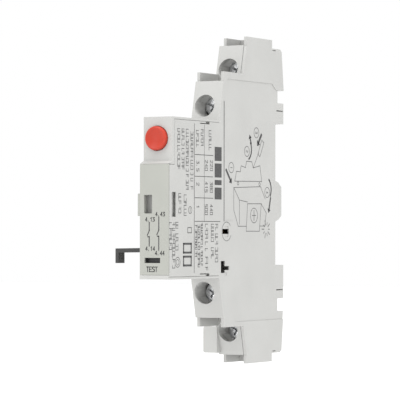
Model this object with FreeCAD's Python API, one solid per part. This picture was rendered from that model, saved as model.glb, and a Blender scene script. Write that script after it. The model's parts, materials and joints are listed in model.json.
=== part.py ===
import FreeCAD, Part
import math
import os

from FreeCAD import Vector

# Slim trip-indicating auxiliary contact module that hangs on the side of a breaker.
# Frame: millimetres. X = 0 is the face that lies against the breaker and +X points away from it.
# Y = 0 is the plane of the rail recess and -Y is the front. Z = 0 is the middle of the height.

# ---- driving dimensions ----
WIDTH = 9.0
HALF_HEIGHT = 46.5
NOSE_HALF = 22.0
COVER_FRONT_Y = -61.1
UPPER_FRONT_Y = -59.1
BLOCK_REAR_Y = 4.9
STEP_REAR_Y = -2.4
FOOT_HALF = 44.1
LID_THICK = 0.9
WALL = 1.0
SEAM = 0.1
LID_X = WIDTH - LID_THICK
LID_INSET = 0.6
LID_GAP = 0.14
LID_UPPER_Y = UPPER_FRONT_Y + 1.2
LID_LOWER_Y = COVER_FRONT_Y + 0.5

COVER_TOP_Z = 9.2
COVER_SLOPE = 0.9
COVER_PLATE = 1.3
COVER_LOW_Z = -20.9
PANEL_DEPTH = 0.2

# Terminal steps, written for the top half: the bottom half is their mirror image.
# Each is a (y, z) point of the side outline, from the nose outwards.
INNER_LOW = (-33.5, 22.0)
INNER_HIGH = (-31.0, 33.2)
INNER_WALL_Z = 35.8
INNER_LEFT_Y = -30.1
INNER_RIGHT_Y = -30.8
OUTER_LOW = (-19.4, 35.8)
OUTER_HIGH = (-17.5, 44.1)
OUTER_LEFT_Y = -14.9
OUTER_RIGHT_Y = -17.6
OUTER_FUNNEL_REAR = -6.9
LEFT_WALL = 0.85

# Screw terminals: axis height, front face there, and the places along the screw from that face.
SCREW_X = 3.75
BORE_R = 3.15
HEAD_R = 2.75
HEAD_DEPTH = 5.2
HEAD_THICK = 2.2
SHANK_R = 1.7
CLAMP_THICK = 1.2
WIRE_GAP = 1.6
STRIP_THICK = 1.0
NUT_THICK = 2.0
SCREW_TIP = 0.6
SCREW_TRAVEL = 1.5
TERMINALS = {"inner": (26.2, -32.6), "outer": (37.2, -19.0)}
SIDES = {"top": 1, "bottom": -1}

# Contact system.
STRIP_X = (1.3, 4.3)
CONTACT_Z = 5.5
TIP_R = 1.2
TIP_THICK = 0.6
CONTACT_GAP = 1.9
BRIDGE_THICK = 0.6
BRIDGE_HALF = 7.0
CARRIER_HALF = 2.0
TRIP_SPRING = 3.2
SHORT_SPRING = 1.3
TRIP_RIB_Y = -10.7
SHORT_RIB_Y = -42.5

# Trip lever.
PIVOT = (-49.1, -9.0)
PIN_R = 0.8
HUB_R = 2.0
TORSION_R = 2.4
TORSION_WIRE = 0.15
LEVER_ARM_UP = 9.0
LEVER_ARM_DOWN = 8.0
HOOK_Z = -14.1
HOOK_DROP = 3.6
HOOK_REACH = 9.3
HOOK_FRONT_Y = -58.6
HOOK_DEPTH = 3.2

# Reset button.
BUTTON_X = 4.2
BUTTON_Z = 16.15
BUTTON_R = 3.3
BUTTON_BORE_R = 3.45
BUTTON_PROUD = 1.15
DISH_R = 5.5
DISH_DEPTH = 0.75
BUTTON_TRAVEL = 1.88
STEM_R = 1.3
STEM_END_Y = -48.6

PARTS = "parts"


# ---- helpers ----
def box(x0, x1, y0, y1, z0, z1):
    """A block between two corners."""
    return Part.makeBox(x1 - x0, y1 - y0, z1 - z0, Vector(x0, y0, z0))


def rod_y(x, z, r, y0, y1):
    """A cylinder along Y."""
    return Part.makeCylinder(r, y1 - y0, Vector(x, y0, z), Vector(0, 1, 0))


def rod_x(y, z, r, x0, x1):
    """A cylinder along X."""
    return Part.makeCylinder(r, x1 - x0, Vector(x0, y, z), Vector(1, 0, 0))


def plate(points, x0, x1):
    """A flat piece with an outline of (y, z) points between two X planes."""
    corners = [Vector(x0, y, z) for y, z in points]
    face = Part.Face(Part.makePolygon(corners + corners[:1]))
    return face.extrude(Vector(x1 - x0, 0, 0))


def fuse(shapes):
    """All the shapes as one clean solid."""
    whole = shapes[0]
    for shape in shapes[1:]:
        whole = whole.fuse(shape)
    return whole.removeSplitter()


def cut(shape, tools):
    """The shape with every tool taken away."""
    for tool in tools:
        shape = shape.cut(tool)
    return shape.removeSplitter()


def mirror_z(points):
    """The same outline below the middle, run the other way."""
    return [(y, -z) for y, z in reversed(points)]


def coil(centre, direction, radius, wire, length, turns):
    """A compression spring from centre along direction, with the wire inside that length."""
    pitch = (length - 2 * wire) / turns
    path = Part.Wire(Part.makeHelix(pitch, pitch * turns, radius).Edges)
    ring = Part.Wire(Part.makeCircle(wire, Vector(radius, 0, 0), Vector(0, 1, 0)))
    spring = Part.Solid(path.makePipeShell([ring], True, True))
    spring.translate(Vector(0, 0, wire))
    turn = FreeCAD.Rotation(Vector(0, 0, 1), direction)
    spring.Placement = FreeCAD.Placement(centre, turn).multiply(spring.Placement)
    return spring


def save(name, shape):
    """Write one sub-part and print what it is."""
    shape.exportStep(os.path.join(PARTS, name + ".step"))
    print(f"{name:28s} solids {len(shape.Solids)} valid {shape.isValid()} volume {shape.Volume:9.2f}")


# ---- outline of the body ----
def upper_front(inner_y, outer_y):
    """Front outline from the nose's top corner to the rear of the highest block."""
    return [
        (UPPER_FRONT_Y, NOSE_HALF),
        INNER_LOW,
        INNER_HIGH,
        (inner_y, INNER_HIGH[1] + 0.01),
        (inner_y, INNER_WALL_Z),
        OUTER_LOW,
        OUTER_HIGH,
        (outer_y, OUTER_HIGH[1] + 0.01),
        (outer_y, HALF_HEIGHT),
        (STEP_REAR_Y, HALF_HEIGHT),
    ]


def upper_rear(recess_z):
    """Rear outline from the highest block down to the edge of the rail recess."""
    return [
        (STEP_REAR_Y, FOOT_HALF),
        (2.5, FOOT_HALF),
        (3.5, 43.4),
        (BLOCK_REAR_Y - 0.15, 32.1),
        (1.3, 32.1),
        (1.3, 28.4),
        (BLOCK_REAR_Y, 28.4),
        (BLOCK_REAR_Y, recess_z),
        (0.0, recess_z),
    ]


def rail_tab():
    """The tab that stands into the rail recess."""
    return [(0.0, 5.75), (1.6, 5.4), (3.7, 4.0), (3.7, -4.4), (1.9, -5.5), (0.0, -6.1)]


def body_outline(inner_y=INNER_LEFT_Y, outer_y=OUTER_LEFT_Y):
    """The whole side outline, clockwise from the nose's top front corner."""
    top = upper_front(inner_y, outer_y) + upper_rear(22.4)
    bottom = mirror_z(upper_front(inner_y, outer_y) + upper_rear(18.7))
    bottom[-1] = (COVER_FRONT_Y, -NOSE_HALF)
    step = [
        (COVER_FRONT_Y, COVER_TOP_Z),
        (UPPER_FRONT_Y, COVER_TOP_Z + COVER_SLOPE),
    ]
    return top + rail_tab() + bottom + step


def lid_outline():
    """The side cover's outline: inside the body's at the nose, and level with it elsewhere."""
    nose = NOSE_HALF - LID_INSET
    outline = body_outline(INNER_RIGHT_Y, OUTER_RIGHT_Y)
    inside = [p for p in outline if p[0] > INNER_LOW[0] + 0.01]
    return (
        [(LID_UPPER_Y, nose), (INNER_LOW[0] + 0.05, nose)]
        + inside
        + [
            (INNER_LOW[0] + 0.05, -nose),
            (LID_LOWER_Y, -nose),
            (LID_LOWER_Y, COVER_TOP_Z - 0.1),
            (LID_UPPER_Y, COVER_TOP_Z - 0.1),
        ]
    )


# ---- terminal places ----
def terminal(step, side):
    """Where one screw terminal's pieces are, all in one dictionary."""
    height, front = TERMINALS[step]
    sign = SIDES[side]
    head = front + HEAD_DEPTH
    clamp = head + HEAD_THICK
    strip = clamp + CLAMP_THICK + WIRE_GAP
    nut = strip + STRIP_THICK
    return {
        "name": step + "_" + side,
        "sign": sign,
        "z": sign * height,
        "front": front,
        "head": head,
        "clamp": clamp,
        "strip": strip,
        "nut": nut,
        "end": nut + NUT_THICK + SCREW_TIP,
    }


def all_terminals():
    """The four screw terminals."""
    return [terminal(step, side) for step in TERMINALS for side in SIDES]


def z_box(x0, x1, y0, y1, sign, z0, z1):
    """A block between two heights of the top half, or of its mirror image."""
    low, high = sorted((sign * z0, sign * z1))
    return box(x0, x1, y0, y1, low, high)


def terminal_room(t):
    """The pocket that one terminal sits in, open at its wire entry and at its screw."""
    height = abs(t["z"])
    inner = t["name"].startswith("inner")
    edge = INNER_HIGH[1] if inner else OUTER_HIGH[1]
    rear = OUTER_LOW[0] - 0.02 if inner else OUTER_FUNNEL_REAR
    front = t["front"] + 2.6
    return [
        rod_y(SCREW_X, t["z"], BORE_R, t["front"] - 4, t["clamp"]),
        z_box(LEFT_WALL, LID_X, t["clamp"] - SCREW_TRAVEL - 0.1, t["end"] + 0.3,
              t["sign"], height - 3.6, height + 3.6),
        z_box(LEFT_WALL, LID_X, front, t["strip"] + STRIP_THICK, t["sign"], height - 1.0, edge + 5),
        z_box(LEFT_WALL, LID_X, front, rear, t["sign"], edge + 0.2, edge + 5),
        z_box(LEFT_WALL, LID_X, t["front"] - 4, rear, t["sign"], edge, edge + 5),
    ]


# ---- casing ----
def strip_slot(t):
    """The slot through the casing's ribs that one contact strip lies in."""
    gap = 0.1
    return z_box(
        STRIP_X[0] - gap, STRIP_X[1] + gap, t["strip"] - gap, t["strip"] + STRIP_THICK + gap,
        t["sign"], 3.5, abs(t["z"]) + 1.0,
    )


def mounting_hooks():
    """Straight pegs on the breaker side, level with the lid's openings, and the tongue."""
    pegs = [
        box(-2.4, 0.4, -32.2, -30.3, -20.4, -17.5),
        box(-2.4, 0.4, -30.5, -27.9, -19.7, -18.8),
        box(-1.8, 0.4, -31.3, -28.1, -9.6, -8.5),
        box(-1.8, 0.4, -30.0, -28.5, -10.4, -7.6),
        box(-2.4, 0.4, -32.0, -30.0, 14.0, 17.0),
    ]
    return pegs + [locating_tongue()]


def casing_rooms():
    """The hollow for the mechanism: the nose, the space behind it, and the button's seat."""
    nose = box(WALL, LID_X + 2, UPPER_FRONT_Y + 1.3, -31.6, -NOSE_HALF + 1.4, NOSE_HALF - 1.4)
    back = box(WALL, LID_X + 2, -31.8, -1.2, -17.5, 17.5)
    lower_front = box(WALL, LID_X + 2, COVER_FRONT_Y + COVER_PLATE, UPPER_FRONT_Y + 2,
                      -NOSE_HALF + 1.4, COVER_TOP_Z - 1.2)
    return [nose, back, lower_front]


def button_guide():
    """The rib that guides the button's stem and carries its spring."""
    rib = box(WALL - 0.1, LID_X - 0.1, -53.2, -52.2, BUTTON_Z - 4.0, NOSE_HALF - 1.0)
    return rib.cut(rod_y(BUTTON_X, BUTTON_Z, STEM_R + 0.06, -54, -51))


def spring_ribs():
    """The ribs that the two carriers' return springs push on."""
    return [
        box(WALL - 0.1, 4.9, TRIP_RIB_Y, TRIP_RIB_Y + 0.8, -2.4, 2.4),
        box(WALL - 0.1, LID_X - 0.1, SHORT_RIB_Y, SHORT_RIB_Y + 0.8, 14.2, NOSE_HALF - 1.0),
    ]


def test_guide():
    """The channel that the test slide runs in, standing on the nose's floor."""
    return [
        box(2.4, 7.6, -57.0, -52.0, -15.8, -15.0),
        box(6.8, 7.6, -57.0, -52.0, -NOSE_HALF + 1.0, -15.0),
        box(2.45, 7.6, -57.0, -52.0, -NOSE_HALF + 1.0, -18.0),
    ]


def carrier_guides():
    """Ribs above and below the trip carrier's bar, and above and below the short carrier's rail."""
    ribs = []
    for y in (-44.0, -30.0):
        ribs.append(box(WALL - 0.1, 4.6, y, y + 1.2, 1.7, 4.2))
        ribs.append(box(WALL - 0.1, 4.6, y, y + 1.2, -4.2, -1.7))
    for y in (-36.0, -20.0):
        ribs.append(box(WALL - 0.1, 7.7, y, y + 1.2, 13.7, 17.6))
        ribs.append(box(WALL - 0.1, 7.7, y, y + 1.2, 8.6, 10.9))
    return ribs


def slot_shelf():
    """The block close behind the front window and the slot in the side cover."""
    return box(WALL - 0.1, 8.0, -58.9, -55.0, -6.0, 2.4)


def clip_pockets():
    """Pockets behind the side cover's clip slots and its T-shaped opening."""
    pockets = [box(2.2, LID_X + 1, -32.6, -24.0, -21.4, -16.9)]
    for sign in (1, -1):
        pockets.append(z_box(6.2, LID_X + 1, -44.3, -38.7, sign, 20.3, 21.3))
    return pockets


def clip_hooks():
    """The hooks that hold the side cover by its two clip slots."""
    return [z_box(6.0, LID_X + 0.3, -39.5, -39.0, sign, 20.7, 21.28) for sign in (1, -1)]


def housing_base():
    """The breaker-side shell: outline, rooms, ribs, hooks and rear slits."""
    shell = plate(body_outline(), 0, WIDTH)
    lid_space = plate(lid_outline(), LID_X - LID_GAP, WIDTH + 1)
    front_room = box(-1, WIDTH + 1, COVER_FRONT_Y - 1, COVER_FRONT_Y + COVER_PLATE, COVER_LOW_Z, COVER_TOP_Z)
    rooms = casing_rooms()
    for t in all_terminals():
        rooms += terminal_room(t)
    shell = cut(shell, [lid_space, front_room] + rooms)
    shell = cut(shell, clip_pockets())
    ribs = spring_ribs() + test_guide() + carrier_guides() + clip_hooks()
    shell = fuse([shell, button_guide(), slot_shelf()] + ribs + mounting_hooks())
    holes = [strip_slot(t) for t in all_terminals()]
    holes.append(rod_y(BUTTON_X, BUTTON_Z, BUTTON_BORE_R, UPPER_FRONT_Y - 1, UPPER_FRONT_Y + 5.8))
    holes.append(lever_window())
    holes.append(rod_x(PIVOT[0], PIVOT[1], PIN_R, 0.5, 3))
    holes += rear_slits(2.5, LID_X)
    return cut(shell, holes)


def rear_slits(x0, x1):
    """Thin moulding gaps in the rear blocks."""
    slits = []
    for z in (26.15, -25.9):
        slits.append(box(x0, x1 + 1, 0.6, BLOCK_REAR_Y - 0.25, z - 0.15, z + 0.15))
    for z in (43.55, -43.55):
        slits.append(box(x0, x1 + 1, STEP_REAR_Y + 0.3, -0.2, z - 0.12, z + 0.12))
    return slits


def lever_window():
    """The opening in the breaker-side wall that the trip lever's hook moves in."""
    return box(-1, WALL + 0.5, HOOK_FRONT_Y - 0.5, HOOK_FRONT_Y + HOOK_DEPTH + 0.8,
               HOOK_Z - 4.1, HOOK_Z + 1.2)


def locating_tongue():
    """The flat upright tongue that carries the lower outer terminal's front on towards the breaker."""
    y0, y1 = OUTER_LOW[0] - 0.1, OUTER_HIGH[0] + 0.1
    tongue = box(-4.1, 0.4, y0, y1, -OUTER_HIGH[1] + 0.5, -OUTER_LOW[1] - 0.3)
    corners = [e for e in tongue.Edges if abs(e.CenterOfMass.x + 4.1) < 0.01 and e.Length < 3]
    return tongue.makeFillet(0.6, corners)


def side_cover():
    """The cover away from the breaker, with its label panel and the openings for the next module."""
    lid = plate(lid_outline(), LID_X, WIDTH)
    nose_seam = [
        box(LID_X - 1, WIDTH + 1, -70, INNER_LOW[0] + 0.05, NOSE_HALF - LID_INSET - SEAM, NOSE_HALF),
        box(LID_X - 1, WIDTH + 1, -70, INNER_LOW[0] + 0.05, -NOSE_HALF, -NOSE_HALF + LID_INSET + SEAM),
        box(LID_X - 1, WIDTH + 1, -70, LID_UPPER_Y + SEAM, COVER_TOP_Z - 0.2, 30),
        box(LID_X - 1, WIDTH + 1, -70, LID_LOWER_Y + 0.05, -30, COVER_TOP_Z + 0.6),
    ]
    panel = label_panel()
    openings = [
        box(LID_X - 1, WIDTH + 1, -59.3, -57.1, -5.1, 1.6),
        box(LID_X - 1, WIDTH + 1, -31.55, -27.85, -9.7, -8.3),
        box(WIDTH - 0.15, WIDTH + 1, -30.2, -28.25, -10.6, -7.5),
        box(LID_X - 1, WIDTH + 1, -32.4, -30.1, -20.6, -17.25),
        box(LID_X - 1, WIDTH + 1, -30.2, -27.7, -19.8, -18.7),
        box(WIDTH - 0.15, WIDTH + 1, -30.5, -29.0, -21.3, -20.5),
    ]
    openings += thin_places()
    for sign in (1, -1):
        openings.append(z_box(LID_X - 1, WIDTH + 1, -44.1, -38.85, sign, 20.6, 20.85))
        openings.append(z_box(LID_X - 1, WIDTH + 1, -40.9, -38.85, sign, 20.6, 21.5))
    lid = cut(lid, nose_seam + [panel] + openings + rear_slits(LID_X, WIDTH))
    peg = rod_x(PIVOT[0] + TORSION_R - TORSION_WIRE - 0.62, PIVOT[1] + 5.0, 0.6, LID_X - 1.3, LID_X + 0.1)
    pin_seat = rod_x(PIVOT[0], PIVOT[1], PIN_R, LID_X - 1, LID_X + 0.5)
    return cut(fuse([lid, peg] + lid_pads()), [pin_seat])


def thin_places():
    """Pockets in the side cover's inside that leave it thin round its openings."""
    left = LID_X + LID_THICK - 0.35
    places = [
        box(LID_X - 1, left, -59.9, -56.4, -5.8, 2.3),
        box(LID_X - 1, left, -33.0, -26.8, -11.6, -6.6),
        box(LID_X - 1, left, -33.2, -26.8, -21.9, -16.3),
    ]
    return places + [z_box(LID_X - 1, left, -44.6, -38.2, sign, 19.9, 21.25) for sign in (1, -1)]


def lid_pads():
    """Low pads that hold the side cover a hair's breadth off the shell."""
    places = [(-12.0, 20.5), (-12.0, -20.5), (-27.0, 20.5), (1.8, 0.0)]
    return [rod_x(y, z, 1.2, LID_X - LID_GAP, LID_X + 0.1) for y, z in places]


def label_panel():
    """The shallow step that frames the printed panel."""
    points = [
        (-28.7, 33.85), (-30.3, 27.5), (-30.3, -6.1), (-25.3, -6.1), (-25.3, -33.3),
        (-24.1, -34.5), (20.0, -34.5), (20.0, 30.0), (0.1, 32.2), (-2.4, 33.85),
    ]
    return plate(points, WIDTH - PANEL_DEPTH, WIDTH + 1)


def front_cover():
    """The cover on the lower nose, with its window and its test slot."""
    rear = COVER_FRONT_Y + COVER_PLATE
    cover = box(0, WIDTH, COVER_FRONT_Y, rear, COVER_LOW_Z + 0.04, COVER_TOP_Z - 0.04)
    lid_edge = box(LID_X - 0.05, WIDTH + 1, LID_LOWER_Y, COVER_FRONT_Y + 5, -30, 30)
    ear = box(-0.95, 0.0, COVER_FRONT_Y + 0.3, COVER_FRONT_Y + 0.9, -4.9, 1.2)
    ear = ear.makeFillet(0.25, [e for e in ear.Edges if abs(e.CenterOfMass.x + 0.95) < 0.01])
    clips = [box(1.2, 1.9, rear - 0.1, rear + 2.7, z, z + 2.0) for z in (-11.0, 5.0)]
    window = box(1.35, 3.85, COVER_FRONT_Y - 1, rear + 1, -4.2, 0.8)
    slot = box(1.5, 6.4, COVER_FRONT_Y - 1, COVER_FRONT_Y + 3, -17.6, -16.2)
    slot_relief = box(0.7, 7.0, COVER_FRONT_Y + 0.5, rear + 1, -18.2, -15.6)
    return cut(fuse([cover, ear] + clips), [window, slot, slot_relief, lid_edge])


# ---- mechanism ----
def reset_button():
    """The red button: dished head, stop flange and stem."""
    front = UPPER_FRONT_Y - BUTTON_PROUD
    flange_y = UPPER_FRONT_Y + 1.3 + BUTTON_TRAVEL + 0.05
    head = rod_y(BUTTON_X, BUTTON_Z, BUTTON_R, front, flange_y + 0.6)
    flange = box(1.1, 7.3, flange_y, flange_y + 0.6, BUTTON_Z - 4.2, BUTTON_Z + 4.2)
    rim = [e for e in head.Edges if e.Length > 15 and abs(e.CenterOfMass.y - front) < 0.01]
    head = head.makeFillet(0.5, rim)
    dish = Part.makeSphere(DISH_R, Vector(BUTTON_X, front - DISH_R + DISH_DEPTH, BUTTON_Z))
    stem = rod_y(BUTTON_X, BUTTON_Z, STEM_R, flange_y, STEM_END_Y)
    return fuse([head.cut(dish), flange, stem])


def button_spring():
    """The spring between the button's flange and the rib behind it."""
    start = UPPER_FRONT_Y + 1.3 + BUTTON_TRAVEL + 0.05 + 0.62
    return coil(Vector(BUTTON_X, start, BUTTON_Z), Vector(0, 1, 0), 2.2, 0.18, -53.22 - start, 3)


def trip_lever():
    """The black lever: hub, arm to the carrier, arm to the test slide, and the hook outside."""
    y, z = PIVOT
    hub = rod_x(y, z, HUB_R, 1.8, 7.6)
    up = box(1.9, 4.2, y - 0.8, y + 0.8, z, z + LEVER_ARM_UP)
    up_tip = rod_x(y, z + LEVER_ARM_UP, 1.0, 1.9, 4.2)
    down = box(4.4, 6.4, y - 0.8, y + 0.8, z - LEVER_ARM_DOWN, z)
    down_tip = rod_x(y, z - LEVER_ARM_DOWN, 1.0, 4.4, 6.4)
    y0, y1 = HOOK_FRONT_Y, HOOK_FRONT_Y + HOOK_DEPTH
    link_outline = [
        (y1 - 1.8, HOOK_Z + 0.6),
        (y0, HOOK_Z + 0.6),
        (y0, HOOK_Z - 0.6),
        (y1 - 1.8, HOOK_Z - 0.6),
        (y, z - 1.6),
        (y, z + 1.6),
    ]
    link = plate(link_outline, 1.15, 2.2)
    collar = rod_x(y, z, HUB_R, 1.15, 2.2)
    bar_outline = [
        (2.2, HOOK_Z + 0.6),
        (-HOOK_REACH, HOOK_Z + 0.4),
        (-HOOK_REACH, HOOK_Z - 0.75),
        (2.2, HOOK_Z - 0.6),
    ]
    corners = [Vector(x, y0, height) for x, height in bar_outline]
    bar = Part.Face(Part.makePolygon(corners + corners[:1])).extrude(Vector(0, 1.4, 0))
    tip = box(-HOOK_REACH, -HOOK_REACH + 0.95, y0, y1, HOOK_Z - HOOK_DROP, HOOK_Z + 0.4)
    lever = fuse([hub, collar, up, up_tip, down, down_tip, link, bar, tip])
    return lever.cut(rod_x(y, z, PIN_R + 0.05, 0, WIDTH))


def lever_pivot_pin():
    """The pin through the lever's hub, seated in the shell and in the side cover."""
    return rod_x(PIVOT[0], PIVOT[1], PIN_R, 0.5, LID_X + 0.5)


def lever_return_spring():
    """A torsion spring round the lever's hub, one leg on the lever and one by the side cover's peg."""
    y, z = PIVOT
    x0, pitch, turns, steps = 6.7, 0.4, 2, 12
    path = [Vector(x0 - 0.9, y + 1.0, z - 5.3), Vector(x0 - 0.3, y + 1.0, z - 5.2),
            Vector(x0, y + 1.3, z - 4.6)]
    for i in range(turns * steps + 1):
        angle = 2 * math.pi * i / steps
        path.append(Vector(x0 + pitch * i / steps, y + TORSION_R * math.cos(angle),
                           z + TORSION_R * math.sin(angle)))
    x1 = x0 + pitch * turns
    path += [Vector(x1, y + TORSION_R, z + 1.6 + 1.5 * i) for i in range(4)]
    spine = Part.BSplineCurve()
    spine.interpolate(path)
    start = spine.tangent(spine.FirstParameter)[0]
    ring = Part.Wire(Part.makeCircle(TORSION_WIRE, path[0], start))
    return Part.Solid(Part.Wire(spine.toShape()).makePipeShell([ring], True, False))


def test_slide():
    """The slide behind the test slot, pushed in with a screwdriver."""
    y1 = PIVOT[0] - 1.3
    body = box(2.5, 6.7, -59.6, y1, -17.9, -15.9)
    head = box(1.1, 6.7, -59.6, -59.25, -17.9, -15.9)
    return fuse([body, head])


def contact_places(step):
    """Y places of one contact set: strip, fixed tip's rear, moving tip's front, and its bridge."""
    strip = terminal(step, "top")["strip"]
    fixed_rear = strip + STRIP_THICK + TIP_THICK
    moving_front = fixed_rear + CONTACT_GAP
    bridge = moving_front + TIP_THICK
    return strip, fixed_rear, moving_front, bridge


def bridge(step):
    """The moving bridge, bent up a little at its ends."""
    y = contact_places(step)[3]
    bar = box(STRIP_X[0] + 0.3, STRIP_X[1] - 0.3, y, y + BRIDGE_THICK, -BRIDGE_HALF, BRIDGE_HALF)
    ears = [e for e in bar.Edges if abs(abs(e.CenterOfMass.z) - BRIDGE_HALF) < 0.01 and e.Length < 1]
    return bar.makeChamfer(0.5, ears)


def contact_tips(step, moving):
    """The silver tips on the strips, or on the bridge."""
    strip, fixed_rear, moving_front, _ = contact_places(step)
    y = moving_front if moving else fixed_rear - TIP_THICK
    x = (STRIP_X[0] + STRIP_X[1]) / 2
    return Part.makeCompound([rod_y(x, s * CONTACT_Z, TIP_R, y, y + TIP_THICK) for s in (1, -1)])


def carrier_window(y_bridge, rear_room, x1):
    """The frame that holds a bridge and its spring, and the room inside it."""
    frame = box(1.2, x1, y_bridge - 1.4, y_bridge + BRIDGE_THICK + rear_room + 1.0,
                -CARRIER_HALF, CARRIER_HALF)
    room = box(STRIP_X[0] + 0.2, STRIP_X[1] - 0.2, y_bridge, y_bridge + BRIDGE_THICK + rear_room, -3, 3)
    return frame, room


def trip_carrier():
    """The slide that the trip lever pulls forward."""
    y = contact_places("inner")[3]
    frame, room = carrier_window(y, TRIP_SPRING, 4.5)
    bar = box(1.4, 4.4, PIVOT[0] - 3.6, y - 1.2, -1.6, 1.6)
    fork = box(0, 6, PIVOT[0] - 1.3, PIVOT[0] + 1.3, -3, 1.3)
    return cut(fuse([frame, bar]), [room, fork])


def short_carrier():
    """The slide that follows the button, beside the first one."""
    y = contact_places("outer")[3]
    frame, room = carrier_window(y, SHORT_SPRING, 7.6)
    x0 = 5.2
    mast = box(x0, 7.6, y - 1.4, y + BRIDGE_THICK + SHORT_SPRING + 1.0, 0, 13.6)
    rail = box(x0, 7.6, -48.4, y, 11.0, 13.6)
    head = box(2.6, 7.6, -48.4, -46.8, 11.0, 18.6)
    return cut(fuse([frame, mast, rail, head]), [room])


def short_return_spring():
    """The spring that pushes the short-circuit carrier forward."""
    return coil(Vector(BUTTON_X, -46.77, BUTTON_Z), Vector(0, 1, 0), 2.0, 0.22, SHORT_RIB_Y + 46.74, 2)


def contact_spring(step, length):
    """The small spring between a bridge and its carrier's frame."""
    y = contact_places(step)[3] + BRIDGE_THICK
    x = (STRIP_X[0] + STRIP_X[1]) / 2
    return coil(Vector(x, y + 0.03, 0), Vector(0, 1, 0), 0.95, 0.15, length - 0.06, 3)


def trip_return_spring():
    """The spring that pushes the trip carrier forward, towards the fixed contacts."""
    y = contact_places("inner")[3] + BRIDGE_THICK + TRIP_SPRING + 1.0
    x = (STRIP_X[0] + STRIP_X[1]) / 2
    return coil(Vector(x, y + 0.03, 0), Vector(0, 1, 0), 1.3, 0.15, TRIP_RIB_Y - y - 0.06, 4)


# ---- terminals ----
def terminal_strip(t):
    """The flat strip from one screw terminal to its fixed contact."""
    strip = z_box(STRIP_X[0], STRIP_X[1], t["strip"], t["strip"] + STRIP_THICK, t["sign"],
                  4.0, abs(t["z"]) - 2.0)
    pad = z_box(1.3, 6.2, t["strip"], t["strip"] + STRIP_THICK, t["sign"],
                abs(t["z"]) - 2.6, abs(t["z"]) + 2.6)
    hole = rod_y(SCREW_X, t["z"], SHANK_R + 0.15, t["strip"] - 1, t["strip"] + 3)
    return cut(fuse([strip, pad]), [hole])


def clamp_plate(t):
    """The loose plate under the screw's head, with its front edges turned down."""
    y0, y1 = t["clamp"], t["clamp"] + CLAMP_THICK
    body = box(SCREW_X - 2.7, SCREW_X + 2.7, y0, y1, t["z"] - 2.6, t["z"] + 2.6)
    groove = box(SCREW_X - 4, SCREW_X + 4, y1 - 0.25, y1 + 1, t["z"] - 0.5, t["z"] + 0.5)
    hole = rod_y(SCREW_X, t["z"], SHANK_R + 0.05, y0 - 1, y1 + 1)
    return cut(body, [groove, hole])


def terminal_screw(t):
    """A pan head with a cross and a slot, on a plain shank."""
    head = rod_y(SCREW_X, t["z"], HEAD_R, t["head"], t["clamp"])
    rim = [e for e in head.Edges if e.Length > 15 and abs(e.CenterOfMass.y - t["head"]) < 0.01]
    head = head.makeFillet(0.5, rim)
    shank = rod_y(SCREW_X, t["z"], SHANK_R, t["clamp"], t["end"])
    half, wide, deep = 1.6, 0.34, 1.2
    cross = []
    for turn in (30, 120):
        arm = box(-half, half, t["head"] - 1, t["head"] + deep, -wide, wide)
        arm.rotate(Vector(0, 0, 0), Vector(0, 1, 0), turn)
        arm.translate(Vector(SCREW_X, 0, t["z"]))
        cross.append(arm)
    slot = box(-4, 4, t["head"] - 1, t["head"] + 0.6, -0.34, 0.34)
    slot.rotate(Vector(0, 0, 0), Vector(0, 1, 0), 30)
    slot.translate(Vector(SCREW_X, 0, t["z"]))
    return cut(fuse([head, shank]), cross + [slot])


def terminal_nut(t):
    """The square nut behind the strip."""
    nut = box(SCREW_X - 2.4, SCREW_X + 2.4, t["nut"], t["nut"] + NUT_THICK, t["z"] - 2.4, t["z"] + 2.4)
    return nut.cut(rod_y(SCREW_X, t["z"], SHANK_R + 0.05, t["nut"] - 1, t["nut"] + 5))


def main():
    os.makedirs(PARTS, exist_ok=True)
    save("housing_base", housing_base())
    save("side_cover", side_cover())
    save("front_cover", front_cover())
    save("reset_button", reset_button())
    save("button_spring", button_spring())
    save("trip_lever", trip_lever())
    save("lever_pivot_pin", lever_pivot_pin())
    save("lever_return_spring", lever_return_spring())
    save("test_slide", test_slide())
    save("trip_carrier", trip_carrier())
    save("trip_return_spring", trip_return_spring())
    save("short_carrier", short_carrier())
    save("short_return_spring", short_return_spring())
    for name, step, length in (("trip", "inner", TRIP_SPRING), ("short", "outer", SHORT_SPRING)):
        save(name + "_bridge", bridge(step))
        save(name + "_bridge_tips", contact_tips(step, True))
        save(name + "_fixed_tips", contact_tips(step, False))
        save(name + "_contact_spring", contact_spring(step, length))
    for t in all_terminals():
        save("contact_strip_" + t["name"], terminal_strip(t))
        save("clamp_plate_" + t["name"], clamp_plate(t))
        save("terminal_screw_" + t["name"], terminal_screw(t))
        save("terminal_nut_" + t["name"], terminal_nut(t))


main()
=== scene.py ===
import json
import math
import random

import bmesh
import bpy
from mathutils import Matrix, Vector


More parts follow.
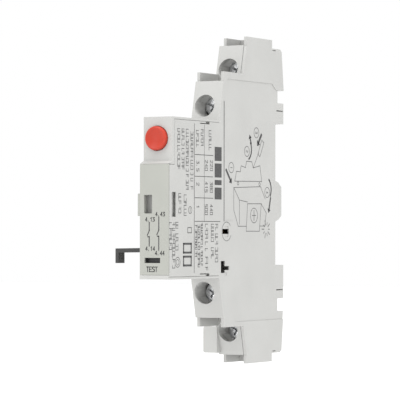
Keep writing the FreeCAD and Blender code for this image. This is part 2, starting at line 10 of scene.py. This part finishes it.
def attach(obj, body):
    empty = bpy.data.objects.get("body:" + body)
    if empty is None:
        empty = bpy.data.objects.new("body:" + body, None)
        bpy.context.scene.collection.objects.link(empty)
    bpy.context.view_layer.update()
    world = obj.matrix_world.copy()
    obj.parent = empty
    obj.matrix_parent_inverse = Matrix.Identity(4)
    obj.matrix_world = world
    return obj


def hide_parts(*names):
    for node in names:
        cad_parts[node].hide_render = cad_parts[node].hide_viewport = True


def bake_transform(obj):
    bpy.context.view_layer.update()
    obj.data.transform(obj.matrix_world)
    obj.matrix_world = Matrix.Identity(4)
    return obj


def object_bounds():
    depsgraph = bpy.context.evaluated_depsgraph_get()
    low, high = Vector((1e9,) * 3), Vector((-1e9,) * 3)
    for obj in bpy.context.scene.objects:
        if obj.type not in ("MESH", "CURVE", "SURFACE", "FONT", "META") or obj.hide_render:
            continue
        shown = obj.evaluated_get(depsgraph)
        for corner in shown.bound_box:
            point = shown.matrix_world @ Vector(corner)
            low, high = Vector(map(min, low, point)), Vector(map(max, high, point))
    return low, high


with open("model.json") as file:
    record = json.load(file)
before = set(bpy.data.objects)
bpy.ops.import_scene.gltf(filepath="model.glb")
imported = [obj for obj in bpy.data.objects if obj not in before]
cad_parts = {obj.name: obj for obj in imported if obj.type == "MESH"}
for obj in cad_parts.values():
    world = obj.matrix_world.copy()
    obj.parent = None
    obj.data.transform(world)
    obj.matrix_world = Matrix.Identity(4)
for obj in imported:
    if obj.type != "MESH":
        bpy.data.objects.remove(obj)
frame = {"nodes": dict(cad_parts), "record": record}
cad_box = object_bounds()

MM = 0.001
SIDE_X = 9.0
PANEL_X = 8.8
PRINT_LIFT = 0.012
PRINT_THICK = 0.006
COVER_Y = -61.1
GRAIN_DEPTH = 0.02
MARK_DEPTH = 0.03
NODES = frame["nodes"]


# ---------------------------------------------------------------- materials
def new_material(name):
    """An empty node material and its shader."""
    material = bpy.data.materials.new(name)
    material.use_nodes = True
    tree = material.node_tree
    shader = next(n for n in tree.nodes if n.type == "BSDF_PRINCIPLED")
    return material, tree, shader


def place(tree):
    """The object coordinates that every pattern is laid out in."""
    return tree.nodes.new("ShaderNodeTexCoord").outputs["Object"]


def noise(tree, scale, detail=2.0, stretch=None):
    """A noise pattern, with an optional stretch along the axes."""
    node = tree.nodes.new("ShaderNodeTexNoise")
    node.inputs["Scale"].default_value = scale
    node.inputs["Detail"].default_value = detail
    source = place(tree)
    if stretch:
        mapping = tree.nodes.new("ShaderNodeMapping")
        mapping.inputs["Scale"].default_value = stretch
        tree.links.new(source, mapping.inputs["Vector"])
        source = mapping.outputs["Vector"]
    tree.links.new(source, node.inputs["Vector"])
    return node.outputs["Fac"]


def blend_colours(tree, factor, dark, light):
    """A smooth range from one colour to the other."""
    ramp = tree.nodes.new("ShaderNodeValToRGB")
    ramp.color_ramp.elements[0].position = 0.3
    ramp.color_ramp.elements[1].position = 0.7
    ramp.color_ramp.elements[0].color = (*dark, 1)
    ramp.color_ramp.elements[1].color = (*light, 1)
    tree.links.new(factor, ramp.inputs["Fac"])
    return ramp.outputs["Color"]


def bump(tree, shader, height, strength, distance):
    """Relief from a pattern."""
    node = tree.nodes.new("ShaderNodeBump")
    node.inputs["Strength"].default_value = strength
    node.inputs["Distance"].default_value = distance
    tree.links.new(height, node.inputs["Height"])
    tree.links.new(node.outputs["Normal"], shader.inputs["Normal"])


def roughness_range(tree, shader, factor, low, high):
    """Roughness that follows a pattern."""
    node = tree.nodes.new("ShaderNodeMapRange")
    node.inputs["To Min"].default_value = low
    node.inputs["To Max"].default_value = high
    tree.links.new(factor, node.inputs["Value"])
    tree.links.new(node.outputs["Result"], shader.inputs["Roughness"])


def moulded(name, colour, spread=0.03, rough=(0.42, 0.58), grain=0.35, gloss=0.4):
    """Moulded plastic: faint cloudiness, and the fine grain of a spark-eroded tool."""
    material, tree, shader = new_material(name)
    clouds = noise(tree, 90.0, 3.0)
    dark = tuple(c * (1 - spread) for c in colour)
    light = tuple(min(1.0, c * (1 + spread)) for c in colour)
    tree.links.new(blend_colours(tree, clouds, dark, light), shader.inputs["Base Color"])
    roughness_range(tree, shader, noise(tree, 700.0, 3.0), *rough)
    bump(tree, shader, noise(tree, 5200.0, 2.0), grain, GRAIN_DEPTH * MM)
    shader.inputs["Specular IOR Level"].default_value = gloss
    return material


def metal(name, colour, rough=(0.25, 0.45), stretch=(1, 1, 1), scale=1500.0,
          relief=0.25, shade=0.72):
    """Plated or drawn metal with fine marks that run one way."""
    material, tree, shader = new_material(name)
    marks = noise(tree, scale, 4.0, stretch)
    dark = tuple(c * shade for c in colour)
    tint = blend_colours(tree, noise(tree, scale * 0.8, 4.0), dark, colour)
    tree.links.new(tint, shader.inputs["Base Color"])
    shader.inputs["Metallic"].default_value = 1.0
    roughness_range(tree, shader, marks, *rough)
    bump(tree, shader, marks, relief, MARK_DEPTH * MM)
    return material


def ink(name, colour):
    """Pad-printed ink: slightly uneven cover."""
    material, tree, shader = new_material(name)
    light = tuple(min(1.0, c * 1.7) for c in colour)
    tint = blend_colours(tree, noise(tree, 2600.0, 3.0), colour, light)
    tree.links.new(tint, shader.inputs["Base Color"])
    roughness_range(tree, shader, noise(tree, 900.0), 0.5, 0.7)
    return material


def make_materials():
    """Every material in the scene by name."""
    return {
        "light": moulded("light_grey_plastic_look", (0.405, 0.405, 0.392)),
        "cover": moulded("cover_grey_plastic_look", (0.325, 0.33, 0.302)),
        "red": moulded("red_plastic_look", (0.42, 0.040, 0.022), 0.08, (0.34, 0.46), 0.2, 0.25),
        "black": moulded("black_plastic_look", (0.030, 0.030, 0.029), 0.1, (0.4, 0.55), 0.3),
        "dark": moulded("dark_grey_plastic_look", (0.035, 0.035, 0.037), 0.08, (0.4, 0.6), 0.3),
        "zinc": metal("zinc_look", (0.80, 0.81, 0.82), (0.25, 0.45), (1, 1, 1), 3200.0, 0.55, 0.5),
        "steel": metal("steel_look", (0.56, 0.57, 0.59), (0.2, 0.35), (8, 1, 1)),
        "spring": metal("spring_look", (0.42, 0.43, 0.46), (0.25, 0.4)),
        "silver": metal("silver_look", (0.86, 0.85, 0.82), (0.3, 0.5), (1, 1, 1), 3000.0),
        "brass": metal("brass_look", (0.70, 0.50, 0.24), (0.25, 0.45), (1, 1, 6)),
        "ink": ink("grey_ink", (0.035, 0.035, 0.035)),
        "fine_ink": ink("fine_grey_ink", (0.08, 0.08, 0.08)),
    }


SLOT_LOOKS = {
    "light_grey_plastic": "light",
    "cover_grey_plastic": "cover",
    "red_plastic": "red",
    "black_plastic": "black",
    "dark_grey_plastic": "dark",
    "zinc_steel": "zinc",
    "steel": "steel",
    "spring_steel": "spring",
    "silver": "silver",
    "brass": "brass",
}


def dress(materials):
    """Give each CAD node the look of its material slot."""
    slots = {s["node"]: s["material_slot"] for s in frame["record"]["subparts"]}
    for name, node in NODES.items():
        node.data.materials.clear()
        node.data.materials.append(materials[SLOT_LOOKS[slots[name]]])


# ---------------------------------------------------------------- edges
EDGE_WIDTHS = {
    "housing_base": 0.16,
    "side_cover": 0.14,
    "front_cover": 0.16,
    "trip_lever": 0.12,
    "test_slide": 0.1,
    "trip_carrier": 0.1,
    "short_carrier": 0.1,
}
WELD_DISTANCE = 0.002
FLAT_ANGLE = math.radians(0.6)
EDGE_ANGLE = math.radians(35)
EDGE_SEGMENTS = 2


def round_edges():
    """Small moulded radii on the plastic nodes."""
    for name, width in EDGE_WIDTHS.items():
        node = NODES[name]
        weld = node.modifiers.new("weld", "WELD")
        weld.merge_threshold = WELD_DISTANCE * MM
        flat = node.modifiers.new("flat", "DECIMATE")
        flat.decimate_type = "DISSOLVE"
        flat.angle_limit = FLAT_ANGLE
        edge = node.modifiers.new("edge", "BEVEL")
        edge.width = width * MM
        edge.segments = EDGE_SEGMENTS
        edge.limit_method = "ANGLE"
        edge.angle_limit = EDGE_ANGLE
        edge.use_clamp_overlap = True
        edge.harden_normals = False


# ---------------------------------------------------------------- spring
def bending_spring(materials):
    """A copy of the lever's torsion spring in the spring look, with the CAD node hidden."""
    node = NODES["lever_return_spring"]
    piece = bpy.data.objects.new("lever_spring_wire", node.data.copy())
    bpy.context.scene.collection.objects.link(piece)
    piece.matrix_world = node.matrix_world.copy()
    piece.data.materials.clear()
    piece.data.materials.append(materials["spring"])
    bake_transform(piece)
    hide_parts("lever_return_spring")


# ---------------------------------------------------------------- printing
CIRCLE_STEPS = 28
RIGHT = Vector((1, 0, 0))
FORWARD = Vector((0, -1, 0))


class Sheet:
    """Flat printed marks gathered into one mesh: u runs along the face, v up it."""

    def __init__(self, name, to_space, normal):
        self.name = name
        self.to_space = to_space
        self.normal = normal
        self.mesh = bmesh.new()

    def quad(self, corners):
        """One flat patch with four (u, v) corners, a little thick."""
        low = [self.mesh.verts.new(Vector(self.to_space(u, v)) * MM) for u, v in corners]
        lift = self.normal * PRINT_THICK * MM
        high = [self.mesh.verts.new(vert.co + lift) for vert in low]
        self.mesh.faces.new(high)
        self.mesh.faces.new(low[::-1])
        for i in range(4):
            j = (i + 1) % 4
            self.mesh.faces.new((low[i], low[j], high[j], high[i]))

    def bar(self, u0, v0, u1, v1):
        """A filled rectangle."""
        self.quad([(u0, v0), (u1, v0), (u1, v1), (u0, v1)])

    def line(self, start, end, width):
        """A straight stroke with square ends."""
        du, dv = end[0] - start[0], end[1] - start[1]
        size = math.hypot(du, dv)
        nu, nv = -dv / size * width / 2, du / size * width / 2
        eu, ev = du / size * width / 2, dv / size * width / 2
        self.quad([
            (start[0] + nu - eu, start[1] + nv - ev),
            (start[0] - nu - eu, start[1] - nv - ev),
            (end[0] - nu + eu, end[1] - nv + ev),
            (end[0] + nu + eu, end[1] + nv + ev),
        ])

    def path(self, points, width, closed=False):
        """Strokes from point to point."""
        ends = points[1:] + (points[:1] if closed else [])
        for start, end in zip(points, ends):
            self.line(start, end, width)

    def arc(self, centre, radius, width, start=0.0, sweep=360.0):
        """Part of a circle, or all of it."""
        count = max(3, int(CIRCLE_STEPS * abs(sweep) / 360))
        for i in range(count):
            a = math.radians(start + sweep * i / count)
            b = math.radians(start + sweep * (i + 1) / count)
            inner, outer = radius - width / 2, radius + width / 2
            ring = [(outer, a), (outer, b), (inner, b), (inner, a)]
            self.quad([
                (centre[0] + r * math.cos(t), centre[1] + r * math.sin(t)) for r, t in ring
            ])

    def finish(self, material, body):
        """The marks as one piece that rides on a body."""
        data = bpy.data.meshes.new(self.name)
        bmesh.ops.recalc_face_normals(self.mesh, faces=self.mesh.faces)
        self.mesh.to_mesh(data)
        self.mesh.free()
        data.materials.append(material)
        piece = bpy.data.objects.new(self.name, data)
        bpy.context.scene.collection.objects.link(piece)
        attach(piece, body)
        return piece


STROKES = {
    "0": [[(0, 0), (0, 2), (1, 2), (1, 0), (0, 0)]],
    "1": [[(0.2, 1.5), (0.6, 2), (0.6, 0)]],
    "2": [[(0, 1.7), (0.2, 2), (0.9, 2), (1, 1.6), (0, 0), (1, 0)]],
    "3": [[(0, 2), (1, 2), (0.4, 1.15), (1, 0.9), (1, 0.2), (0.7, 0), (0, 0)]],
    "4": [[(0.75, 0), (0.75, 2), (0, 0.6), (1, 0.6)]],
    "5": [[(1, 2), (0.1, 2), (0, 1.1), (0.8, 1.1), (1, 0.8), (1, 0.2), (0.8, 0), (0, 0)]],
    "8": [[(0, 0), (0, 2), (1, 2), (1, 0), (0, 0)], [(0, 1), (1, 1)]],
    ".": [[(0.2, 0), (0.2, 0.15)]],
    "T": [[(0, 2), (1, 2)], [(0.5, 2), (0.5, 0)]],
    "E": [[(1, 2), (0, 2), (0, 0), (1, 0)], [(0, 1), (0.8, 1)]],
    "S": [[(1, 1.8), (0.7, 2), (0.2, 2), (0, 1.7), (0, 1.3), (1, 0.8), (1, 0.3), (0.8, 0), (0, 0)]],
}


def write(sheet, text, start, height, width, along=(1, 0), spacing=1.55):
    """Plain stroke characters from a start point, with their line running along a direction."""
    across = (-along[1], along[0])
    unit = height / 2
    for i, mark in enumerate(text):
        for stroke in STROKES[mark]:
            points = []
            for x, y in stroke:
                a = (x + i * spacing) * unit
                b = y * unit
                points.append((
                    start[0] + along[0] * a + across[0] * b,
                    start[1] + along[1] * a + across[1] * b,
                ))
            sheet.path(points, width)


WORD_GAP_CHANCE = 0.18
WORD_GAP = 0.5
MARK_GAP = 0.24
MARK_SIZES = (0.42, 0.6)
LINE_END_ROOM = 0.4


def greek(sheet, u, v_from, v_to, height, width, rng):
    """A line of meaningless small strokes that stands for small print, reading down the face."""
    v = v_from
    while v > v_to + LINE_END_ROOM:
        if rng.random() < WORD_GAP_CHANCE:
            v -= WORD_GAP * height
            continue
        kind = rng.randrange(5)
        size = height * rng.uniform(*MARK_SIZES)
        low, high = u, u + height
        if kind in (0, 2, 4):
            sheet.line((low, v), (high, v), width)
        if kind in (1, 2, 3):
            sheet.line((high, v), (high, v - size), width)
        if kind in (0, 1, 4):
            sheet.line((low, v), (low, v - size), width)
        if kind in (2, 3):
            sheet.line(((low + high) / 2, v), ((low + high) / 2, v - size), width)
        if kind in (1, 3, 4):
            sheet.line((low, v - size), (high, v - size), width)
        v -= size + height * MARK_GAP


def side_space(u, v):
    """A point of the nose's side: u is Y, v is Z."""
    return (SIDE_X + PRINT_LIFT, u, v)


def panel_space(u, v):
    """A point of the recessed side panel."""
    return (PANEL_X + PRINT_LIFT, u, v)


def front_space(u, v):
    """A point of the front cover: u is X, v is Z."""
    return (u, COVER_Y - PRINT_LIFT, v)


DOWN = (0, -1)


SMALL_PRINT_SEED = 11
# (u, top, bottom, height) of each line of small print
SMALL_PRINT = [
    (-56.3, 18.8, 7.6, 1.25), (-54.0, 18.8, 7.2, 1.25), (-51.7, 18.8, 2.4, 1.25),
    (-49.2, 18.8, 2.4, 1.25), (-55.7, 1.2, -5.3, 1.25), (-52.8, 0.9, -5.3, 1.25),
    (-60.6, -6.7, -14.7, 1.25), (-58.9, -6.7, -19.5, 1.25), (-57.2, -6.6, -14.0, 1.25),
    (-46.2, 18.7, 14.2, 1.25), (-43.6, 19.0, 14.4, 1.25), (-39.2, 18.9, 12.9, 1.25),
    (-35.6, -7.0, -17.2, 1.4), (-37.9, -7.0, -16.9, 1.4), (-41.2, -7.0, -20.0, 1.4),
    (-43.6, -6.8, -18.9, 0.95), (-45.2, -7.2, -18.8, 0.95), (-46.7, -7.4, -16.8, 0.95),
]
# (v, upper voltage, lower voltage, current) of each cell of the table
RATINGS = [(10.6, "220", "240", "3.5"), (4.6, "380", "415", "2"), (-1.6, "440", "500", "1")]
RATING_HEIGHT = 1.35
TEXT_WIDTH = 0.2


def print_nose(materials):
    """Ruled table, small print and generic marks on the nose's side."""
    rng = random.Random(SMALL_PRINT_SEED)
    rules = Sheet("side_rules", side_space, RIGHT)
    rules.line((-47.25, 20.4), (-47.25, -20.3), 0.22)
    rules.line((-41.75, 20.3), (-41.75, -6.2), 0.14)
    for v in (12.05, 6.1, 0.2):
        rules.line((-46.9, v), (-36.9, v), 0.18)
    rules.line((-46.9, -6.25), (-32.9, -6.25), 0.18)
    rules.finish(materials["ink"], "housing")

    text = Sheet("side_small_print", side_space, RIGHT)
    for u, top, bottom, height in SMALL_PRINT:
        greek(text, u, top, bottom, height, TEXT_WIDTH, rng)
    for v, upper, lower, rating in RATINGS:
        write(text, upper, (-38.5, v), RATING_HEIGHT, TEXT_WIDTH, DOWN)
        write(text, lower, (-41.3, v), RATING_HEIGHT, TEXT_WIDTH, DOWN)
        write(text, rating, (-46.0, v - 0.3), RATING_HEIGHT, TEXT_WIDTH, DOWN)
    text.finish(materials["fine_ink"], "housing")

    marks = Sheet("side_marks", side_space, RIGHT)
    for v0, v1 in ((14.5, 10.6), (9.9, 6.0), (5.3, 3.9), (3.2, -0.1)):
        marks.bar(-36.0, v1, -32.1, v0)
    marks.arc((-49.5, -3.2), 0.95, 0.16)
    marks.line((-49.5, -2.6), (-49.5, -3.8), 0.2)
    marks.arc((-56.2, -17.4), 1.35, 0.16)
    marks.arc((-56.2, -17.4), 0.75, 0.14)
    for v in (-13.6, -17.1):
        square = [(-53.0, v + 1.2), (-48.9, v + 1.2), (-48.9, v - 1.2), (-53.0, v - 1.2)]
        marks.path(square, 0.55, True)
    marks.path([(-50.8, -8.0), (-48.8, -8.0), (-48.8, -9.4), (-50.8, -9.4)], 0.2, True)
    marks.finish(materials["ink"], "housing")


HEAD_LENGTH = 1.6
HEAD_HALF = 1.3
TIP_HALF = 0.02
BURST_RAYS = 10


def arrow(sheet, start, end, width):
    """A broad arrow with a triangular head."""
    du, dv = end[0] - start[0], end[1] - start[1]
    size = math.hypot(du, dv)
    du, dv = du / size, dv / size
    neck = (end[0] - du * width * HEAD_LENGTH, end[1] - dv * width * HEAD_LENGTH)
    sheet.line(start, neck, width)
    wing = width * HEAD_HALF
    sheet.quad([
        (neck[0] - dv * wing, neck[1] + du * wing),
        (neck[0] + dv * wing, neck[1] - du * wing),
        (end[0] + dv * TIP_HALF, end[1] - du * TIP_HALF),
        (end[0] - dv * TIP_HALF, end[1] + du * TIP_HALF),
    ])


def burst(sheet, centre, inner, outer, width):
    """Short rays round a point."""
    for i in range(BURST_RAYS):
        turn = 2 * math.pi * i / BURST_RAYS
        reach = outer if i % 2 else (inner + outer) / 2
        start, end = [
            (centre[0] + r * math.cos(turn), centre[1] + r * math.sin(turn))
            for r in (inner, reach)
        ]
        sheet.line(start, end, width)


# (centre, number) of each numbered step of the mounting drawing
STEPS = [((-26.2, 8.97), "1"), ((-17.1, 13.8), "2"), ((-11.5, 19.3), "3"), ((-5.0, 2.3), "4")]
THIN = 0.2


def print_panel(materials):
    """A dark line along the panel's edge step and a plain mounting drawing of a box, a strip and
    numbered steps.
    """
    # A dark line drawn just ahead of the recessed panel's edge step, along its whole height.
    edge = Sheet("panel_edge", side_space, RIGHT)
    edge.line((-30.68, 27.3), (-30.68, -6.0), 0.34)
    edge.finish(materials["ink"], "housing")

    art = Sheet("mounting_drawing", panel_space, RIGHT)
    for (u, v), number in STEPS:
        art.arc((u, v), 1.45, THIN)
        write(art, number, (u - 0.55, v + 0.3), 1.1, 0.16, DOWN)
    box_front = [(-24.75, 3.37), (-24.75, -2.96), (-22.2, -7.5), (-17.4, -7.5)]
    art.path(box_front, THIN)
    art.path([(-24.75, 3.37), (-21.5, -0.1), (-16.7, -0.6)], THIN)
    art.path([(-21.5, -0.1), (-21.5, -6.9)], THIN)
    art.path([(-24.75, 3.37), (-9.0, 3.9), (-6.2, 0.4)], THIN)
    art.path([(-16.7, -1.1), (-8.6, -1.0), (-9.7, -8.9), (-17.5, -8.9)], THIN, True)
    art.path([(-8.6, -1.0), (-5.6, -3.6), (-6.4, -7.4), (-9.5, -7.4)], THIN)
    art.arc((-12.9, -4.4), 2.1, THIN)
    art.line((-12.9, -3.0), (-12.9, -5.8), 0.3)
    art.line((-14.0, -4.4), (-11.8, -4.4), 0.2)
    art.path([(-24.2, 5.2), (-8.3, 5.4)], THIN)
    profile = [
        (-24.2, 5.2), (-23.2, 8.0), (-21.0, 7.9), (-20.5, 9.6), (-17.9, 9.2),
        (-17.3, 11.0), (-14.2, 10.9), (-13.4, 9.2), (-9.4, 9.9), (-8.3, 5.4),
    ]
    art.path(profile, THIN)
    for u in (-22.3, -9.6):
        art.arc((u, 4.6), 0.45, THIN)
    art.path([(-13.4, 9.2), (-10.2, 13.6)], THIN)
    art.path([(-10.6, 13.2), (-8.3, 17.3), (-7.0, 16.6), (-9.4, 12.5)], THIN, True)
    burst(art, (-5.6, -8.3), 1.3, 2.6, THIN * 1.3)
    art.finish(materials["fine_ink"], "housing")

    bold = Sheet("mounting_arrows", panel_space, RIGHT)
    arrow(bold, (-29.1, 8.2), (-25.9, 4.5), 0.8)
    arrow(bold, (-8.6, 18.7), (-11.1, 15.5), 0.9)
    arrow(bold, (-14.7, 16.2), (-15.6, 18.6), 0.7)
    bold.arc((-17.6, 14.4), 3.2, 0.6, 38, -100)
    arrow(bold, (-3.0, 0.6), (-4.2, -3.6), 0.7)
    bold.arc((-6.2, 3.2), 3.6, 0.6, 55, -90)
    bold.finish(materials["ink"], "housing")

    ring = Sheet("keyhole_ring", side_space, RIGHT)
    ring.arc((-29.2, -9.0), 2.65, 0.18, 35, 300)
    ring.finish(materials["fine_ink"], "housing")


def print_front(materials):
    """Contact symbols, their terminal numbers and the test word on the front cover."""
    front = Sheet("front_symbols", front_space, FORWARD)
    for x, top, bottom in ((3.0, -6.6, -13.0), (6.0, -5.2, -14.1)):
        middle = (top + bottom) / 2
        front.line((x, top), (x, middle + 1.0), 0.3)
        front.line((x + 0.02, middle + 1.0), (x - 0.6, middle - 0.3), 0.28)
        front.line((x - 0.45, middle - 0.7), (x, middle - 0.7), 0.28)
        front.line((x, middle - 0.7), (x, bottom), 0.3)
    write(front, "4.13", (1.8, -6.3), 1.0, 0.2)
    write(front, "4.43", (5.0, -4.9), 1.0, 0.2)
    write(front, "4.14", (1.9, -14.2), 1.0, 0.2)
    write(front, "4.44", (4.9, -15.4), 1.0, 0.2)
    write(front, "TEST", (2.2, -19.9), 1.25, 0.24, (1, 0), 1.45)
    front.finish(materials["ink"], "housing")


# ---------------------------------------------------------------- stage
CAMERA_AT = (345.74, -627.15, -10.17)
CAMERA_FORWARD = (-0.50008, 0.86585, 0.01453)
CAMERA_ROLL = 0.0012
LENS = 220.5
SENSOR_WIDTH = 36.0
CLIP_START = 0.05
FLOOR_DROP = 0.12
FLOOR_HALF = 6.0
CENTRE = (0, -0.03, 0)
LOW_CENTRE = (0, -0.03, -0.03)
# (name, position, target, side of the square, power) of each soft light
AREA_LIGHTS = [
    ("key", (-0.5, -0.9, 0.9), CENTRE, 0.7, 3.5),
    ("low", (-0.4, -0.9, 0.05), LOW_CENTRE, 0.3, 0.8),
    ("fill", (1.0, -0.4, 0.1), CENTRE, 0.8, 2.5),
    ("top", (0.6, -0.1, 1.1), CENTRE, 0.6, 5.0),
]
SUN_DIRECTION = (0.15, 0.35, -1.0)
SUN_ANGLE = 30
SUN_STRENGTH = 1.2


def make_camera():
    """A long lens at the front right, level with the middle of the module."""
    data = bpy.data.cameras.new("camera")
    data.lens = LENS
    data.sensor_width = SENSOR_WIDTH
    data.sensor_fit = "HORIZONTAL"
    data.clip_start = CLIP_START
    camera = bpy.data.objects.new("camera", data)
    bpy.context.scene.collection.objects.link(camera)
    forward = Vector(CAMERA_FORWARD).normalized()
    right = forward.cross(Vector((0, 0, 1))).normalized()
    up = right.cross(forward)
    turn = Matrix((right, up, -forward)).transposed().to_4x4()
    roll = Matrix.Rotation(CAMERA_ROLL, 4, "Z")
    camera.matrix_world = Matrix.Translation(Vector(CAMERA_AT) * MM) @ turn @ roll
    bpy.context.scene.camera = camera


def area_light(name, at, target, size, power):
    """A square soft light that looks at a point."""
    data = bpy.data.lights.new(name, "AREA")
    data.shape = "SQUARE"
    data.size = size
    data.energy = power
    light = bpy.data.objects.new(name, data)
    bpy.context.scene.collection.objects.link(light)
    light.location = at
    light.rotation_euler = (Vector(target) - Vector(at)).to_track_quat("-Z", "Y").to_euler()


def sun_light(name, direction, angle, strength):
    """A distant soft light that shines along a direction."""
    data = bpy.data.lights.new(name, "SUN")
    data.energy = strength
    data.angle = math.radians(angle)
    light = bpy.data.objects.new(name, data)
    bpy.context.scene.collection.objects.link(light)
    light.rotation_euler = Vector(direction).to_track_quat("-Z", "Y").to_euler()


def make_stage():
    """A pale floor, a white surround and soft lights."""
    scene = bpy.context.scene
    scene.view_settings.view_transform = "Standard"
    world = bpy.data.worlds.new("surround")
    scene.world = world
    world.use_nodes = True
    background = world.node_tree.nodes["Background"]
    background.inputs["Color"].default_value = (1, 1, 1, 1)
    background.inputs["Strength"].default_value = 1.0

    low = min(corner[2] for corner in cad_box) - FLOOR_DROP
    floor_mesh = bpy.data.meshes.new("floor")
    grid = bmesh.new()
    bmesh.ops.create_grid(grid, x_segments=1, y_segments=1, size=FLOOR_HALF)
    grid.to_mesh(floor_mesh)
    grid.free()
    floor = bpy.data.objects.new("floor", floor_mesh)
    bpy.context.scene.collection.objects.link(floor)
    floor.location = (0, 0, low)
    material, tree, shader = new_material("pale_floor")
    tree.links.new(
        blend_colours(tree, noise(tree, 3.0), (0.90, 0.90, 0.90), (0.93, 0.93, 0.93)),
        shader.inputs["Base Color"],
    )
    shader.inputs["Roughness"].default_value = 0.9
    shader.inputs["Specular IOR Level"].default_value = 0.1
    floor_mesh.materials.append(material)

    for light in AREA_LIGHTS:
        area_light(*light)
    sun_light("sky", SUN_DIRECTION, SUN_ANGLE, SUN_STRENGTH)


def main():
    """Build everything that the frame doesn't bring."""
    materials = make_materials()
    dress(materials)
    round_edges()
    bending_spring(materials)
    print_nose(materials)
    print_panel(materials)
    print_front(materials)
    make_camera()
    make_stage()


main()
